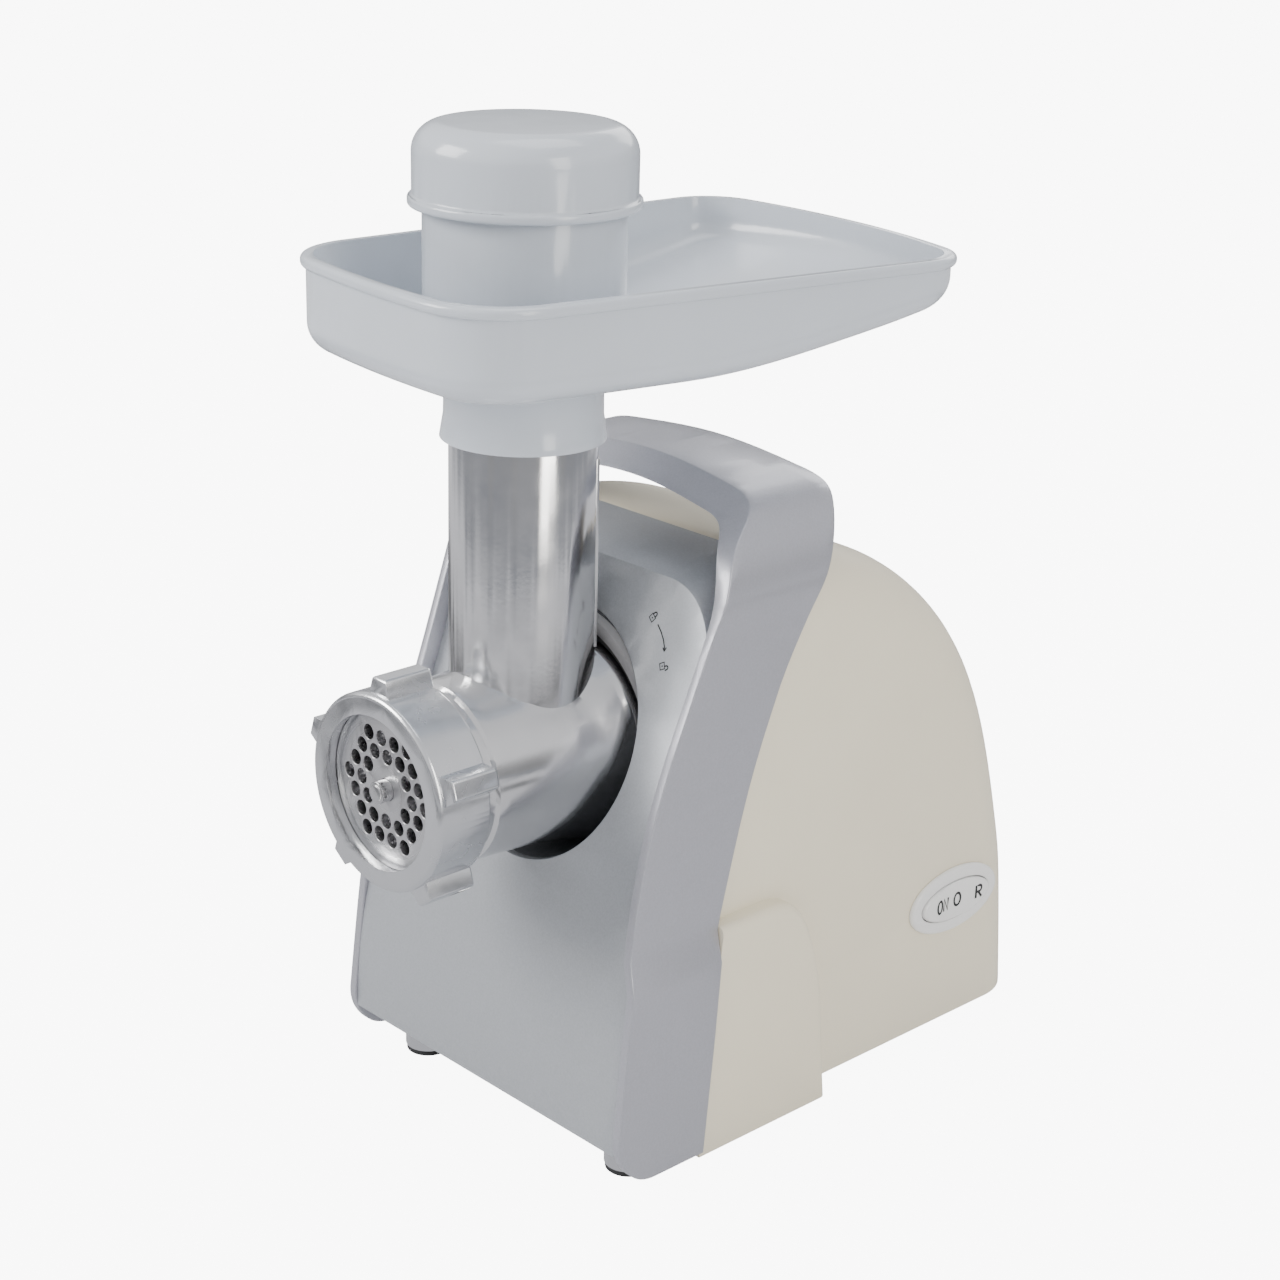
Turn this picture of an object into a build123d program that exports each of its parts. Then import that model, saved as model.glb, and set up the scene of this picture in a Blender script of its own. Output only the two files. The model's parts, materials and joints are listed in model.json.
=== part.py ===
from build123d import *
import math
import os

# Electric meat grinder, in millimetres. The machine frame has +Z up and +Y to the rear, with the surface
# that it stands on at Z = STAND_Z, X = 0 on the auger axis, and Y = 0 on the plate's outer face.
# At export everything moves by ORIGIN_SHIFT, which puts the row's origin at the bottom centre of its box.

# ---------------------------------------------------------------- driving dimensions
AXIS_Z = 136.0                  # auger axis
STAND_Z = 2.8                   # surface that the machine stands on
ORIGIN_SHIFT = (-3.11, -124.30, -STAND_Z)

PLATE_R, PLATE_T = 27.0, 5.0    # grinder plate of the 54 mm size
KEY_HALF_W = 2.1                # keyway that stops the plate from turning
HOLE_R, HOLE_PITCH = 2.5, 6.3   # plate holes on a hexagonal grid
PIN_R = 3.6                     # auger pin through the plate
RUN = 0.05                      # radial clearance of a running fit
GAP = 0.3                       # clearance between faces that move past each other

NUT_FRONT, NUT_REAR, LUG_FRONT = -4.6, 15.5, -2.4
NUT_OPENING_R, NUT_R, NUT_LUG_R = 25.2, 32.2, 37.6
LUG_ROOT_W, LUG_TIP_W = 9.5, 6.0
THREAD_R = 29.2                 # outside of the barrel's thread

BORE_R = 22.6                   # barrel bore around the auger
THROAT_Y, THROAT_R, THROAT_BORE_R = 55.0, 23.4, 20.3
THROAT_TOP = 256.0
FLANGE_R, FLANGE_Y0, FLANGE_Y1 = 36.5, 74.0, 79.0
SPIGOT_R, SPIGOT_END = 33.0, 96.5
BAYONET_R, BAYONET_Y0, BAYONET_Y1 = 36.0, 84.0, 89.0

TRAY_RIM_Z, TRAY_FLOOR_Z = 295.2, 265.4
TRAY_FRONT, TRAY_REAR = 58.0, 134.0       # ends of the tray from the throat axis
TRAY_W_FRONT, TRAY_W_REAR = 56.2, 66.4    # half widths at the ends
TRAY_BOW_FRONT, TRAY_BOW_REAR = 4.0, 9.0
TRAY_R_FRONT, TRAY_R_REAR = 28.0, 20.0
TRAY_TURN = -6.1                # how far the tray is turned on the throat, degrees
TRAY_WALL = 2.2
COLLAR_R, COLLAR_BOTTOM = 26.2, 240.7

CUP_R, CUP_WALL = 31.2, 2.2
PUSHER_STEM_R = 19.6
CAP_R, CAP_BEAD_R, CAP_BEAD_Z, CAP_TOP = 34.3, 35.6, 313.6, 337.0

WALL = 2.6                      # moulded shells
REAR_W = 61.6                   # half width of the rear housing
OPENING_R, OPENING_Z = 40.8, 140.0
HANDLE_TOP = 227.0
HOOD_Y = (85.4, 109.0)          # front and rear of the hood, where its shoulders are given
SHOULDER_R, SHOULDER_Z, HOOD_HALF_W = (24.5, 22.5), (172.5, 181.4), 60.8
SIDE_Z, SWITCH_Y = 57.0, 206.0  # switch centre on the right side
BUTTON_X, BUTTON_Z, BUTTON_R = -49.0, 104.0, 6.4   # head lock button on the panel

MODULES = (1.0, 1.25, 2.0)      # the three reduction stages, motor first
PINIONS = (9, 10, 12)
WHEELS = (54, 48, 36)
PRESSURE = math.radians(20)
MOTOR_Z = 52.0
STAGE_2_X = 20.0                # second intermediate shaft beside the output axis
CASE_Y0, CASE_Y1 = 100.0, 138.0  # gearbox, outside faces
LAYER_3, LAYER_2, LAYER_1 = (104.5, 112.5), (114.0, 120.0), (122.0, 127.5)

FOOT_X, FRONT_FOOT_Y, REAR_FOOT_Y = 52.4, 57.8, 220.0
PAD_TOP = STAND_Z + 1.8
CORD_X, CORD_Z, CORD_R = 40.0, 24.0, 3.6   # cord entry at the back

NODES = {}


# ---------------------------------------------------------------- helpers
def rod_y(r, y0, y1, x=0.0, z=AXIS_Z):
    """Round bar along Y."""
    return Pos(x, (y0 + y1) / 2, z) * Rot(90, 0, 0) * Cylinder(r, y1 - y0)


def tube_y(r_out, r_in, y0, y1, x=0.0, z=AXIS_Z):
    return rod_y(r_out, y0, y1, x, z) - rod_y(r_in, y0 - 1, y1 + 1, x, z)


def rod_z(r, z0, z1, x=0.0, y=0.0):
    return Pos(x, y, (z0 + z1) / 2) * Cylinder(r, z1 - z0)


def tube_z(r_out, r_in, z0, z1, x=0.0, y=0.0):
    return rod_z(r_out, z0, z1, x, y) - rod_z(r_in, z0 - 1, z1 + 1, x, y)


def block(x0, x1, y0, y1, z0, z1):
    return Pos((x0 + x1) / 2, (y0 + y1) / 2, (z0 + z1) / 2) * Box(x1 - x0, y1 - y0, z1 - z0)


def turn_y(points):
    """Solid of revolution about the auger axis from (y, radius) corners."""
    outline = Polyline(*[(r, y) for y, r in points], close=True)
    body = revolve(make_face(outline), Axis.Y, 360)
    return Pos(0, 0, AXIS_Z) * body


def turn_z(points, y=THROAT_Y):
    """Solid of revolution about the throat axis from (radius, z) corners."""
    outline = Plane.XZ * Polyline(*points, close=True)
    return Pos(0, y, 0) * revolve(make_face(outline), Axis.Z, 360)


def side_slab(edge, half_x):
    """Extrudes a closed outline of the YZ plane to both sides of X = 0."""
    return extrude(make_face(Plane.YZ * edge), half_x, both=True)


def front_slab(edge, y0=0.0, y1=300.0):
    """Extrudes a closed outline of the XZ plane from y0 to y1."""
    return Pos(0, y0, 0) * extrude(make_face(Plane.XZ * edge), -(y1 - y0))


def try_fillet(body, edges, radii):
    """Largest of the given radii that the edges take."""
    for radius in radii:
        try:
            rounded = fillet(edges, radius)
            if rounded.is_valid and rounded.volume > 0.5 * body.volume:
                return rounded
        except Exception:
            continue
    return body


def add(name, body):
    NODES[name] = body


# ---------------------------------------------------------------- head: casting, auger, knife, plate, nut
def head_casting():
    barrel = turn_y([(1.0, 0), (1.0, THREAD_R), (17.0, THREAD_R), (17.6, 28.4), (20.5, 28.4), (21.5, 29.6),
                     (34.0, 30.2), (48.0, 31.2), (60.0, 32.8), (69.0, 35.0), (FLANGE_Y0 - 0.8, FLANGE_R - 0.4),
                     (FLANGE_Y0, FLANGE_R), (FLANGE_Y1, FLANGE_R), (FLANGE_Y1, SPIGOT_R),
                     (SPIGOT_END, SPIGOT_R), (SPIGOT_END, 0)])
    throat = rod_z(THROAT_R, AXIS_Z, THROAT_TOP, 0, THROAT_Y)
    throat += Pos(0, THROAT_Y, (AXIS_Z + 36 + 234) / 2) * Rot(0, 0, -38) * (
        Pos(0, THROAT_R - 2.0, 0) * Box(9.5, 4.4, 234 - AXIS_Z - 36))
    barrel = try_join(barrel, throat, 4.0)
    lugs = [Pos(0, 0, AXIS_Z) * Rot(0, a, 0) * (Pos(0, 0, -AXIS_Z) * block(
        -6, 6, BAYONET_Y0, BAYONET_Y1, AXIS_Z + SPIGOT_R - 2, AXIS_Z + BAYONET_R)) for a in (0, 120, 240)]
    body = barrel
    for lug in lugs:
        body += lug & rod_y(BAYONET_R, BAYONET_Y0, BAYONET_Y1)
    body -= rod_y(PLATE_R + 0.1, 0.0, PLATE_T + 0.4)
    body -= rod_y(BORE_R, PLATE_T, 86.0)
    body -= rod_y(18.0, 85.0, SPIGOT_END + 1)
    body -= rod_z(THROAT_BORE_R, AXIS_Z, THROAT_TOP + 1, 0, THROAT_Y)
    for a in range(0, 360, 45):
        groove = Pos(BORE_R, 45, 0) * Rot(90, 0, 0) * Cylinder(1.1, 72)
        body -= Pos(0, 0, AXIS_Z) * Rot(0, a + 22, 0) * groove
    body -= block(-KEY_HALF_W, KEY_HALF_W, 0, PLATE_T + 0.4, AXIS_Z - PLATE_R - 1.6, AXIS_Z - PLATE_R + 1)
    for k in range(4):
        y = 3.4 + 3.4 * k
        body -= tube_y(THREAD_R + 1, THREAD_R - 0.7, y, y + 1.5)
    return body


def try_join(first, second, radius):
    """Joins two bodies and rounds the seam where they meet."""
    joined = first + second
    seam = [e for e in joined.edges() if e.center().Z > AXIS_Z + 15 and e.center().Z < AXIS_Z + 42
            and e.length > 60]
    return try_fillet(joined, seam, (radius, 3.0, 2.0, 1.0)) if seam else joined


def head_bush():
    return tube_y(18.0, 11.0 + RUN, 86.6, 97.6)


def plate_hole_centres():
    """Hexagonal grid, seven across, without its middle seven."""
    centres = []
    for row in range(-3, 4):
        count = 7 - abs(row)
        for k in range(count):
            x = (k - (count - 1) / 2) * HOLE_PITCH
            z = row * HOLE_PITCH * math.sqrt(3) / 2
            if math.hypot(x, z) > 1.2 * HOLE_PITCH:
                centres.append((x, z))
    return centres


def grinder_plate():
    body = rod_y(PLATE_R, 0.0, PLATE_T)
    body -= rod_y(PIN_R + RUN, -1, PLATE_T + 1)
    turned = math.radians(2.5)
    for x, z in plate_hole_centres():
        u = x * math.cos(turned) + z * math.sin(turned)
        v = z * math.cos(turned) - x * math.sin(turned)
        body -= rod_y(HOLE_R, -1, PLATE_T + 1, u, AXIS_Z + v)
    key = block(-2.0, 2.0, 0.2, PLATE_T, AXIS_Z - PLATE_R - 1.4, AXIS_Z - PLATE_R + 1)
    return body + key


def ring_nut():
    """Round nut with five tapered grips and a wide front face around the mouth."""
    body = rod_y(NUT_R, NUT_FRONT, NUT_REAR)
    rim = [e for e in body.edges() if abs(e.center().Y - NUT_FRONT) < 0.01]
    body = try_fillet(body, rim, (1.8, 1.2))
    for k in range(5):
        grip = Polyline((20, -LUG_ROOT_W / 2), (NUT_R, -LUG_ROOT_W / 2), (NUT_LUG_R, -LUG_TIP_W / 2),
                        (NUT_LUG_R, LUG_TIP_W / 2), (NUT_R, LUG_ROOT_W / 2), (20, LUG_ROOT_W / 2), close=True)
        lug = Rot(0, -90 - 72 * k, 0) * front_slab(grip, LUG_FRONT, NUT_REAR)
        body += Pos(0, 0, AXIS_Z) * lug
    roots = [e for e in body.edges().filter_by(Axis.Y)
             if abs(math.hypot(e.center().X, e.center().Z - AXIS_Z) - NUT_R) < 1.0]
    body = try_fillet(body, roots, (3.5, 3.0, 2.0))
    tips = [e for e in body.edges() if math.hypot(e.center().X, e.center().Z - AXIS_Z) > NUT_LUG_R - 1.0]
    body = try_fillet(body, tips, (1.2, 0.8, 0.5))
    back = [e for e in body.edges() if abs(e.center().Y - NUT_REAR) < 0.01]
    body = try_fillet(body, back, (0.8, 0.5))
    body -= rod_y(NUT_OPENING_R, NUT_FRONT - 1, 0)
    body -= rod_y(NUT_OPENING_R + 0.8, NUT_FRONT + 2.6, 0)
    body -= rod_y(THREAD_R + GAP, -0.15, NUT_REAR + 1)
    return body


def auger():
    """Core and helical flight; the flight is a sector of the section, turned as it runs along the axis."""
    turns, y0, y1 = 3.25, 15.0, 74.0
    core_r, flight_r, spread = 9.5, 21.6, 28
    tip = (math.cos(math.radians(spread)), math.sin(math.radians(spread)))
    section = CenterArc((0, 0), flight_r, -spread, 2 * spread)
    section += Line((flight_r * tip[0], flight_r * tip[1]), (core_r * tip[0], core_r * tip[1]))
    section += CenterArc((0, 0), core_r, spread, 360 - 2 * spread)
    section += Line((core_r * tip[0], -core_r * tip[1]), (flight_r * tip[0], -flight_r * tip[1]))
    flight = Solid.extrude_linear_with_rotation(
        make_face(section).face(), (0, 0, 0), (0, 0, y1 - y0), 360 * turns)
    flight = Pos(0, y0, AXIS_Z) * Rot(-90, 0, 0) * flight
    core = turn_y([(12.5, 0), (12.5, 7.5), (24, 9.5), (70, 12.0), (84.4, 12.0), (84.4, 16.0), (86.3, 16.0),
                   (86.3, 11.0), (98.0, 11.0), (98.0, 0)])
    square = block(-4.6, 4.6, PLATE_T + 0.6, 13.5, AXIS_Z - 4.6, AXIS_Z + 4.6)
    tail = block(-8.0, 8.0, 98.0, 102.2, AXIS_Z - 8.0, AXIS_Z + 8.0) & rod_y(10.6, 98.0, 102.2)
    return core + flight + square + tail


def auger_pin():
    return rod_y(PIN_R, -4.0, PLATE_T + 0.6) + rod_y(2.6, -4.4, -4.0)


def knife():
    body = rod_y(9.0, PLATE_T + 0.6, 11.6)
    for k in range(4):
        blade = block(3, 22.0, PLATE_T + 0.6, 9.4, AXIS_Z - 1.6, AXIS_Z + 4.6)
        blade = blade & rod_y(22.0, 0, 12)
        body += Pos(0, 0, AXIS_Z) * Rot(0, 90 * k, 0) * Pos(0, 0, -AXIS_Z) * blade
    body -= block(-4.65, 4.65, PLATE_T, 12.4, AXIS_Z - 4.65, AXIS_Z + 4.65)
    return body


# ---------------------------------------------------------------- tray and pusher
def tray_outline(inset, z):
    """Rounded plan of the tray, wider at the rear, with bowed ends."""
    front, rear = -TRAY_FRONT + inset, TRAY_REAR - inset
    w0, w1 = TRAY_W_FRONT - inset, TRAY_W_REAR - inset
    ends = ThreePointArc((-w0, front + TRAY_BOW_FRONT), (0, front), (w0, front + TRAY_BOW_FRONT))
    ends += Line((w0, front + TRAY_BOW_FRONT), (w1, rear - TRAY_BOW_REAR))
    ends += ThreePointArc((w1, rear - TRAY_BOW_REAR), (0, rear), (-w1, rear - TRAY_BOW_REAR))
    ends += Line((-w1, rear - TRAY_BOW_REAR), (-w0, front + TRAY_BOW_FRONT))
    face = make_face(ends)
    low = sorted(face.vertices(), key=lambda v: v.Y)[0:2]
    face = fillet(low, TRAY_R_FRONT - inset)
    high = sorted(face.vertices(), key=lambda v: v.Y)[-2:]
    return Pos(0, 0, z) * fillet(high, TRAY_R_REAR - inset)


def tray_floor(drop):
    """Body above the tray's floor line, which is level in front and rises to the rear."""
    z = TRAY_FLOOR_Z + drop
    edge = Polyline((-90, z), (22, z))
    curve = Spline((22, z), (80, z + 6.2), (TRAY_REAR + 6, z + 21.0), tangents=((1, 0), (1, 0.42)))
    close = Polyline((TRAY_REAR + 6, z + 21.0), (TRAY_REAR + 6, 360), (-90, 360), (-90, z))
    return extrude(make_face(Plane.YZ * (edge + curve + close)), 120, both=True)


def feed_tray():
    depth = TRAY_RIM_Z - TRAY_FLOOR_Z
    outer = extrude(tray_outline(1.6, TRAY_FLOOR_Z), depth)
    outer = outer & tray_floor(0)
    low = [e for e in outer.edges() if e.center().Z < TRAY_RIM_Z - 6 and not vertical(e)]
    outer = try_fillet(outer, low, (9.0, 7.0, 5.0, 3.5, 2.0))
    inner = extrude(tray_outline(1.6 + TRAY_WALL, TRAY_FLOOR_Z), depth + 1)
    inner = inner & tray_floor(TRAY_WALL)
    low = [e for e in inner.edges() if e.center().Z < TRAY_RIM_Z - 6 and not vertical(e)]
    inner = try_fillet(inner, low, (7.0, 5.0, 3.5, 2.5, 1.5))
    bead = extrude(tray_outline(0, TRAY_RIM_Z - 3.6), 3.6)
    bead = try_fillet(bead, bead.edges().filter_by(Plane.XY), (1.6, 1.2, 0.8))
    body = outer + bead - inner
    turned = Pos(0, THROAT_Y, 0) * Rot(0, 0, TRAY_TURN) * body
    collar = turn_z([(THROAT_R + GAP, COLLAR_BOTTOM), (COLLAR_R, COLLAR_BOTTOM), (COLLAR_R - 1.2, 248),
                     (COLLAR_R - 1.4, 262), (COLLAR_R + 1.0, TRAY_FLOOR_Z + 1.2),
                     (THROAT_BORE_R, TRAY_FLOOR_Z + 1.2), (THROAT_BORE_R, THROAT_TOP + GAP),
                     (THROAT_R + GAP, THROAT_TOP + GAP)])
    turned -= rod_z(THROAT_BORE_R, TRAY_FLOOR_Z - 4, TRAY_FLOOR_Z + 8, 0, THROAT_Y)
    return turned + collar


def vertical(edge):
    return abs((edge % 0.5).Z) > 0.9


def pusher():
    floor = TRAY_FLOOR_Z + TRAY_WALL + 0.4
    return turn_z([(0, 172.0), (PUSHER_STEM_R, 172.0), (PUSHER_STEM_R, floor), (CUP_R, floor),
                   (CUP_R, CAP_BEAD_Z - 1.2), (CUP_R - 0.6, CAP_BEAD_Z - 1.2), (CUP_R - 0.6, 322.0),
                   (CUP_R - CUP_WALL, 322.0), (CUP_R - CUP_WALL, floor + CUP_WALL),
                   (PUSHER_STEM_R - CUP_WALL, floor + CUP_WALL), (PUSHER_STEM_R - CUP_WALL, 175.0), (0, 175.0)])


def pusher_cap():
    outer = turn_z([(0, CAP_BEAD_Z), (CAP_R, CAP_BEAD_Z), (CAP_R, CAP_TOP), (0, CAP_TOP)])
    top = [e for e in outer.edges() if abs(e.center().Z - CAP_TOP) < 0.01]
    outer = try_fillet(outer, top, (9.0, 8.0, 6.0))
    bead = turn_z([(CAP_R - 1, CAP_BEAD_Z - 1.8), (CAP_BEAD_R, CAP_BEAD_Z - 1.2), (CAP_BEAD_R, CAP_BEAD_Z + 1.4),
                   (CAP_R - 1, CAP_BEAD_Z + 2.2)])
    hollow = turn_z([(0, CAP_BEAD_Z - 3), (CUP_R + 0.1, CAP_BEAD_Z - 3), (CUP_R + 0.1, CAP_TOP - 8),
                     (CUP_R - 6, CAP_TOP - 2.6), (0, CAP_TOP - 2.6)])
    return outer + bead - hollow


# ---------------------------------------------------------------- outer shells
FRONT_FACE = [(37.5, 20.4), (44.0, 75.0), (55.5, 114.0), (72.0, 158.0), (85.5, 198.0)]
BACK_FACE = [(109.0, 203.7), (152.0, 197.0), (195.5, 171.5), (226.0, 129.0), (242.0, 80.0), (250.5, 24.0)]
SEAM = [(74.2, 6.0), (79.0, 50.0), (81.5, 78.0), (82.4, 86.0), (108.8, 161.0)]
BAND_BOTTOM, FENDER_BOTTOM, REAR_BOTTOM = 9.0, 6.0, 9.5
SEAM_GAP = 0.15                 # between the bands and the rear housing
BAND_REAR = [(139.0, 222.0), (131.0, 206.0), (121.5, 187.0), (108.8, 161.0)]


def seam_curve(down=True, gap=0.0):
    """Curved part of the seam between the bands and the rear housing."""
    points = [(y + gap, z) for y, z in (SEAM[4], (97.5, 130.0), (86.8, 99.0), SEAM[3])]
    if down:
        return Spline(*points, tangents=((-0.36, -1), (-0.3, -1)))
    return Spline(*reversed(points), tangents=((0.3, 1), (0.36, 1)))


def behind_seam(points):
    """The same seam points moved back by the gap of the seam."""
    return [(y + SEAM_GAP, z) for y, z in points]


def waist(x_offset, down=False):
    """Waisted part of the side line in the front view, on the right, or on the left when it runs down."""
    if down:
        points = [(-60.8 - x_offset, 182.0), (-59.2 - x_offset, 140.0), (-62.4 - x_offset, 86.0)]
        return Spline(*points, tangents=((0.04, -1), (-0.09, -1)))
    points = [(62.4 + x_offset, 86.0), (59.2 + x_offset, 140.0), (60.8 + x_offset, 182.0)]
    return Spline(*points, tangents=((-0.09, 1), (0.04, 1)))


def flare(x_offset, side=1):
    """Corners of the side line below the crease, bottom first on the right side, last on the left."""
    points = [(67.5 + x_offset, -5.0), (66.0 + x_offset, 76.0), (62.4 + x_offset, 86.0)]
    return points if side > 0 else [(-x, z) for x, z in reversed(points)]


def front_profile(wall):
    """YZ outline of the front housing: face, hood, and the seam to the rear housing."""
    face = [(y + 1.03 * wall, z) for y, z in FRONT_FACE]
    start, end = face[0], (face[-1][0], face[-1][1] - 0.9 * wall)
    face[-1] = end
    curve = Spline(*face)
    hood = Spline(end, (97.0, 203.2 - wall), (109.0, 203.9 - wall), tangents=((1, 0.35), (1, 0)))
    seam = Polyline((109.0, 203.9 - wall), SEAM[4])
    foot = (74.2 + 4.8 * 6.0 / 44.0, 12.0)
    lower = Polyline(*reversed(SEAM[1:4]), foot, (52.0, 12.0), start)
    return curve + hood + seam + seam_curve() + lower


def front_outline(inset):
    """XZ outline inside the side bands: waisted, with a crease and rounded shoulders."""
    centre, radius, sweep = (38.0 - inset, 182.0), 22.8, 80
    rise = math.radians(sweep)
    top = (centre[0] + radius * math.cos(rise), centre[1] + radius * math.sin(rise))
    parts = Polyline(*flare(-inset)) + waist(-inset)
    parts += CenterArc(centre, radius, 0, sweep)
    parts += Polyline(top, (0, 206.5), (-top[0], top[1]))
    parts += CenterArc((-centre[0], centre[1]), radius, 180 - sweep, sweep)
    parts += waist(-inset, down=True)
    return parts + Polyline(*flare(-inset, -1), flare(-inset)[0])


def shoulder_section(y, inset):
    """Section across the hood: its rounded shoulders rise from the panel's top edge to the rear housing."""
    share = (y - HOOD_Y[0]) / (HOOD_Y[1] - HOOD_Y[0])
    radius = SHOULDER_R[0] + (SHOULDER_R[1] - SHOULDER_R[0]) * share
    level = SHOULDER_Z[0] + (SHOULDER_Z[1] - SHOULDER_Z[0]) * share
    half = HOOD_HALF_W - radius
    outline = Polyline((-80, level), (-80, -5), (80, -5), (80, level), (half + radius - inset, level))
    outline += CenterArc((half, level), radius - inset, 0, 90)
    outline += Line((half, level + radius - inset), (-half, level + radius - inset))
    outline += CenterArc((-half, level), radius - inset, 90, 90)
    outline += Line((-half - radius + inset, level), (-80, level))
    return Pos(0, y, 0) * make_face(Plane.XZ * outline)


def shoulders(inset):
    return loft([shoulder_section(30.0, inset), shoulder_section(112.0, inset)], ruled=True)


def front_housing():
    outer = side_slab(front_profile(0), 80) & front_slab(front_outline(0)) & shoulders(0)
    inner = side_slab(front_profile(WALL), 80) & front_slab(front_outline(WALL)) & shoulders(WALL)
    inner += Pos(0, 6, 0) * inner
    inner = inner - block(-80, 80, -10, 300, 203.7 - WALL, 230)
    body = outer - inner
    body -= rod_y(OPENING_R, 0, 90, 0, OPENING_Z)
    body -= rod_y(BUTTON_R + GAP, 30, 80, BUTTON_X, BUTTON_Z)
    return body


def rear_profile(wall):
    """YZ outline of the rear housing behind the seam."""
    back = [(y - wall * s, z - wall * c) for (y, z), s, c in zip(
        BACK_FACE, (0, 0.25, 0.62, 0.88, 0.97, 0.99), (1, 0.97, 0.78, 0.48, 0.24, 0.1))]
    curve = Spline(*back, tangents=((1, 0.02), (0.1, -1)))
    seam = behind_seam(SEAM)
    toe, heel = (seam[0][0] + 0.4, REAR_BOTTOM), (back[-1][0] - 9, REAR_BOTTOM)
    curve += Polyline(back[-1], (back[-1][0] - 2.5, 14.0), heel, toe, *seam[1:4])
    return curve + seam_curve(down=False, gap=SEAM_GAP) + Polyline(seam[4], back[0])


def under_band():
    """Both strips of the rear housing's sides that the bands cover above the seam."""
    edge = Spline(*behind_seam(BAND_REAR), tangents=((-0.45, -1), (-0.36, -1)))
    edge += Polyline(behind_seam(BAND_REAR)[-1], (100.0, 161.0), (100.0, 222.0), behind_seam(BAND_REAR)[0])
    return side_slab(edge, 80) - block(-59.6, 59.6, 90, 150, 150, 230)


def rear_housing():
    solid = side_slab(rear_profile(0), REAR_W)
    top = [e for e in solid.edges() if abs(abs(e.center().X) - REAR_W) < 0.1 and e.center().Z > 60
           and e.center().Y > 130 and e.length > 60]
    solid = try_fillet(solid, top, (22.0, 20.0, 18.0, 14.0, 10.0))
    hollow = side_slab(rear_profile(WALL), REAR_W - WALL)
    top = [e for e in hollow.edges() if abs(abs(e.center().X) - REAR_W + WALL) < 0.1 and e.center().Z > 60
           and e.center().Y > 130 and e.length > 60]
    hollow = try_fillet(hollow, top, (19.4, 17.4, 15.4, 11.4, 7.4))
    hollow += Pos(0, -8, 0) * hollow
    hollow += Pos(0, 0, -12) * hollow
    pad = fender(0, 68.4)
    pad_hollow = fender(WALL, 68.4 - WALL)
    body = solid + pad - hollow - pad_hollow
    body -= under_band()
    body -= ellipse_slab(19.3, 8.5, REAR_W - 9, 80)
    for k in range(9):
        body -= Pos(0, 236, 36 + 6 * k) * Box(52, 30, 2.6)
    body -= rod_y(6.1, 236, 262, CORD_X, CORD_Z)
    return body


def fender(inset, half_x):
    """Raised arch-shaped pad low on both sides; its inset copy hollows it."""
    front, top = 74.6 + SEAM_GAP, 87.0 - inset
    low = FENDER_BOTTOM if inset == 0 else FENDER_BOTTOM - 8
    seam = behind_seam(SEAM[1:4])
    edge = Polyline((136.5 - inset, low), (front, low), *seam, (82.8, top), (106.0, top))
    edge += Spline((106.0, top), (122.0 - inset, 78.0 - inset), (131.5 - inset, 50.0), (136.5 - inset, low),
                   tangents=((1, 0), (0.12, -1)))
    slab = side_slab(edge, half_x)
    if inset == 0:
        rim = [e for e in slab.edges() if abs(abs(e.center().X) - half_x) < 0.1 and e.center().Z > 20
               and e.center().Y > 84]
        slab = try_fillet(slab, rim, (3.0, 2.0, 1.0))
    keep_x = REAR_W - 1.5 if inset == 0 else 50
    return slab - block(-keep_x, keep_x, 60, 150, -10, 100)


def handle_frame():
    front = Spline((36.6, 27.0), (39.2, 52.0), (43.2, 82.0), (50.0, 112.0), (66.0, 157.7), (81.5, 199.0))
    front += Spline((81.5, 199.0), (86.5, 209.0), (102.0, 221.0), (114.0, 231.0),
                    tangents=((0.4, 1), (1, 0.9)))
    rear = Polyline((114.0, 231.0), (142.0, 231.0), (139.0, 222.0))
    rear += Spline(*BAND_REAR, tangents=((-0.45, -1), (-0.36, -1)))
    rear += seam_curve()
    lower = Polyline(*reversed(SEAM[1:4]), (74.6, BAND_BOTTOM), (53.0, BAND_BOTTOM))
    lower += Spline((53.0, BAND_BOTTOM), (41.0, 14.5), (36.6, 27.0), tangents=((-1, 0), (0.05, 1)))
    side = side_slab(front + rear + lower, 90)
    return (side & front_slab(band_outline(0.0))) - front_slab(band_outline(1.0))


def band_outline(inner):
    """XZ outline of the side bands and the arch, outside (0) or inside (1)."""
    leg, arch = 3.4 * (1 - inner), 7.0 * inner
    x0, z0 = 60.8 + leg, 182.0
    x1, z1 = 62.0 + 3.4 * (1 - inner) - 2.2 * inner, 198.0
    x2, z2 = 40.0, HANDLE_TOP - arch - 2.6
    bulge = (x1 - 7.5 + 1.5 * inner, z2 - 8.0 + 1.0 * inner)
    right = Spline((x0, z0), (x1, z1), bulge, (x2, z2), tangents=((0.04, 1), (-1, 0.1)))
    crown = Spline((x2, z2), (0, HANDLE_TOP - arch), (-x2, z2), tangents=((-1, 0.1), (-1, -0.1)))
    left = Spline((-x2, z2), (-bulge[0], bulge[1]), (-x1, z1), (-x0, z0), tangents=((-1, -0.1), (0.04, -1)))
    parts = Polyline(*flare(leg)) + waist(leg) + right + crown + left + waist(leg, down=True)
    return parts + Polyline(*flare(leg, -1), flare(leg)[0])


def base_plate():
    edge = Polyline((41.5, 20.6), (52.0, 12.2), (76.0, 12.2), (76.0, 9.2), (233.0, 9.2),
                    (233.0, 11.8), (78.6, 11.8), (78.6, 14.8), (53.0, 14.8), (44.5, 21.6), close=True)
    body = side_slab(edge, 58.4)
    for k in range(8):
        body -= block(-24, 24, 150 + 8 * k, 153 + 8 * k, 0, 30)
    return body


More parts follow.
